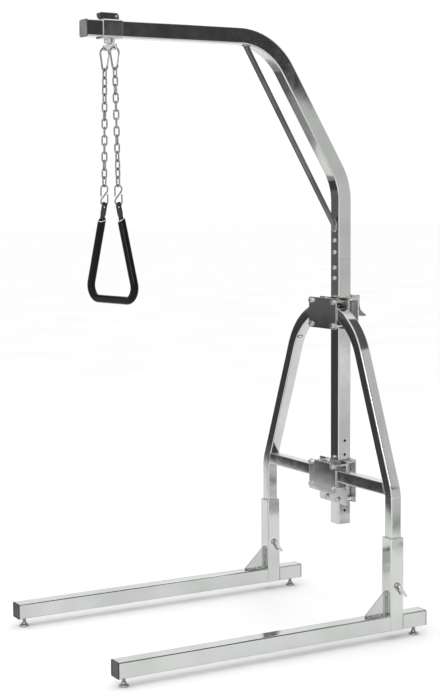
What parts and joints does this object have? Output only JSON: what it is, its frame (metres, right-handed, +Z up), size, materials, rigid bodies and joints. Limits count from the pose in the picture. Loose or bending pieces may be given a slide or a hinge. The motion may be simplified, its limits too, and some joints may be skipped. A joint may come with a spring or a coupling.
{
  "type": "trapeze lift with floor stand",
  "caption": "Free-standing overbed trapeze: chromed floor stand, height-adjustable clamped mast, bent boom with strut, sliding carrier, chains and a grip handle.",
  "frame": {"origin": "on the floor, under the middle of the stand's overall length and width", "axes": "+Z up, -Y the front, where the boom and the long legs reach, +X towards the right leg"},
  "size_m": [0.7155, 1.002, 1.7369],
  "materials": {
    "chrome_tube": "bright chrome plate",
    "chrome_plate": "bright chrome plate, softer edges",
    "zinc_hardware": "bright zinc plate",
    "bell_chrome": "chrome, dulled by use",
    "black_plastic": "moulded, fine grain",
    "black_lever": "moulded, satin",
    "grey_lever": "moulded, satin",
    "liner_plastic": "moulded, satin",
    "cap_plastic": "moulded, satin",
    "pad_rubber": "matt",
    "chain_steel": "bright zinc plate",
    "handle_steel": "black, fine texture",
    "grip_vinyl": "glossy black vinyl"
  },
  "bodies": {
    "stand": {"left_leg_tube": "chrome_tube", "right_leg_tube": "chrome_tube", "left_rear_tube": "chrome_tube", "right_rear_tube": "chrome_tube", "left_socket": "chrome_tube", "right_socket": "chrome_tube", "left_gusset": "chrome_tube", "right_gusset": "chrome_tube", "leg_front_caps": "black_plastic", "leg_rear_caps": "black_plastic", "glide_nuts": "zinc_hardware", "screw_bosses": "zinc_hardware", "socket_liners": "liner_plastic", "a_frame": "chrome_tube", "crossbar": "chrome_tube", "upper_front_plate": "chrome_plate", "upper_middle_plate": "chrome_plate", "upper_rear_plate": "chrome_plate", "lower_front_plate": "chrome_plate", "lower_middle_plate": "chrome_plate", "lower_rear_plate": "chrome_plate", "frame_bolts": "zinc_hardware", "frame_nuts": "zinc_hardware", "mast_bolts": "zinc_hardware", "mast_nuts": "zinc_hardware", "mast_spacers": "zinc_hardware", "lever_bracket": "chrome_plate", "lever_pin": "zinc_hardware"},
    "glide_front_left": {"glide_front_left": "bell_chrome"},
    "glide_front_right": {"glide_front_right": "bell_chrome"},
    "glide_rear_left": {"glide_rear_left": "bell_chrome"},
    "glide_rear_right": {"glide_rear_right": "bell_chrome"},
    "left_lock_screw": {"left_lock_screw": "zinc_hardware"},
    "right_lock_screw": {"right_lock_screw": "zinc_hardware"},
    "clamp_lever": {"clamp_lever": "grey_lever"},
    "brake_pad": {"brake_pad": "pad_rubber"},
    "mast": {"mast_tube": "chrome_tube", "boom_tube": "chrome_tube", "splice_sleeve": "zinc_hardware", "splice_screws": "zinc_hardware", "strut": "chrome_tube", "boom_cap": "cap_plastic", "stop_screw": "zinc_hardware"},
    "collar": {"collar": "chrome_tube", "collar_lever_pin": "zinc_hardware", "swivel_housing": "chrome_plate"},
    "collar_lever": {"collar_lever": "black_lever"},
    "collar_shoe": {"collar_shoe": "pad_rubber"},
    "hanger": {"hanger_plate": "chrome_plate"},
    "hook_left": {"hook_left": "chain_steel"},
    "hook_right": {"hook_right": "chain_steel"},
    "gate_left": {"gate_left": "chain_steel"},
    "gate_right": {"gate_right": "chain_steel"},
    "chain_left": {"chain_left": "chain_steel"},
    "chain_right": {"chain_right": "chain_steel"},
    "s_hook_left": {"s_hook_left": "chain_steel"},
    "s_hook_right": {"s_hook_right": "chain_steel"},
    "handle": {"handle_tube": "handle_steel", "handle_grip": "grip_vinyl"}
  },
  "joints": [
    {"name": "mast_slide", "type": "slide", "parent": "stand", "child": "mast", "axis": [0, 0, 1], "range_m": [0, 0.126]},
    {"name": "clamp_lever_lift", "type": "hinge", "parent": "stand", "child": "clamp_lever", "pos_m": [0, 0.461, 0.944], "axis": [1, 0, 0], "range_deg": [0, 75]},
    {"name": "brake_pad_release", "type": "slide", "parent": "stand", "child": "brake_pad", "axis": [0, 1, 0], "range_m": [0, 0.0013]},
    {"name": "left_lock_screw_turn", "type": "hinge", "parent": "stand", "child": "left_lock_screw", "pos_m": [-0.327, 0.372, 0.154], "axis": [1, 0, 0], "continuous": true},
    {"name": "right_lock_screw_turn", "type": "hinge", "parent": "stand", "child": "right_lock_screw", "pos_m": [0.327, 0.372, 0.154], "axis": [1, 0, 0], "continuous": true},
    {"name": "glide_front_left_turn", "type": "hinge", "parent": "stand", "child": "glide_front_left", "pos_m": [-0.327, -0.475, 0], "axis": [0, 0, 1], "continuous": true},
    {"name": "glide_rear_left_turn", "type": "hinge", "parent": "stand", "child": "glide_rear_left", "pos_m": [-0.327, 0.446, 0], "axis": [0, 0, 1], "continuous": true},
    {"name": "glide_front_right_turn", "type": "hinge", "parent": "stand", "child": "glide_front_right", "pos_m": [0.327, -0.475, 0], "axis": [0, 0, 1], "continuous": true},
    {"name": "glide_rear_right_turn", "type": "hinge", "parent": "stand", "child": "glide_rear_right", "pos_m": [0.327, 0.446, 0], "axis": [0, 0, 1], "continuous": true},
    {"name": "collar_slide", "type": "slide", "parent": "mast", "child": "collar", "axis": [0, 1, 0], "range_m": [-0.04, 0.2]},
    {"name": "collar_lever_lift", "type": "hinge", "parent": "collar", "child": "collar_lever", "pos_m": [0, -0.317, 1.72705], "axis": [-1, 0, 0], "range_deg": [0, 60]},
    {"name": "collar_shoe_lift", "type": "slide", "parent": "collar", "child": "collar_shoe", "axis": [0, 0, 1], "range_m": [0, 0.0016]},
    {"name": "hanger_swivel", "type": "hinge", "parent": "collar", "child": "hanger", "pos_m": [0, -0.334, 1.65595], "axis": [0, 0, 1], "continuous": true},
    {"name": "hook_left_swing", "type": "hinge", "parent": "hanger", "child": "hook_left", "pos_m": [-0.02207, -0.33789, 1.63101], "axis": [0.9848, 0.1736, 0], "range_deg": [-35, 35]},
    {"name": "hook_right_swing", "type": "hinge", "parent": "hanger", "child": "hook_right", "pos_m": [0.02207, -0.33011, 1.63101], "axis": [0.9848, 0.1736, 0], "range_deg": [-35, 35]},
    {"name": "gate_left_open", "type": "hinge", "parent": "hook_left", "child": "gate_left", "pos_m": [-0.02439, -0.33026, 1.59464], "axis": [0.9845, 0.1736, -0.0264], "range_deg": [0, 15], "stiffness_Nm_per_rad": 0.02, "springref_deg": -28.65},
    {"name": "gate_right_open", "type": "hinge", "parent": "hook_right", "child": "gate_right", "pos_m": [0.02164, -0.32215, 1.59464], "axis": [0.9845, 0.1736, 0.0264], "range_deg": [0, 15], "stiffness_Nm_per_rad": 0.02, "springref_deg": -28.65},
    {"name": "chain_left_sway", "type": "hinge", "parent": "hook_left", "child": "chain_left", "pos_m": [-0.02325, -0.3381, 1.58552], "axis": [-0.1736, 0.9848, 0], "range_deg": [-16, 16]},
    {"name": "chain_right_sway", "type": "hinge", "parent": "hook_right", "child": "chain_right", "pos_m": [0.02325, -0.3299, 1.58552], "axis": [-0.1736, 0.9848, 0], "range_deg": [-16, 16]},
    {"name": "s_hook_left_sway", "type": "hinge", "parent": "chain_left", "child": "s_hook_left", "pos_m": [-0.03122, -0.33951, 1.27868], "axis": [-0.1736, 0.9848, 0], "range_deg": [-12.3, 12.3]},
    {"name": "s_hook_right_sway", "type": "hinge", "parent": "chain_right", "child": "s_hook_right", "pos_m": [0.03122, -0.32849, 1.27868], "axis": [-0.1736, 0.9848, 0], "range_deg": [-12.3, 12.3]},
    {"name": "handle_tilt", "type": "hinge", "parent": "s_hook_left", "child": "handle", "pos_m": [-0.03239, -0.33971, 1.23379], "axis": [0.9848, 0.1736, 0], "range_deg": [-30, 30]}
  ],
  "couplings": [
    {"joint": "brake_pad_release", "follows": "clamp_lever_lift", "m_per_rad": 0.000917},
    {"joint": "collar_shoe_lift", "follows": "collar_lever_lift", "m_per_rad": 0.00143},
    {"joint": "hook_right_swing", "follows": "hook_left_swing", "ratio": 1},
    {"joint": "chain_right_sway", "follows": "chain_left_sway", "ratio": 1},
    {"joint": "s_hook_left_sway", "follows": "chain_left_sway", "ratio": -0.745},
    {"joint": "s_hook_right_sway", "follows": "chain_left_sway", "ratio": -0.745}
  ]
}
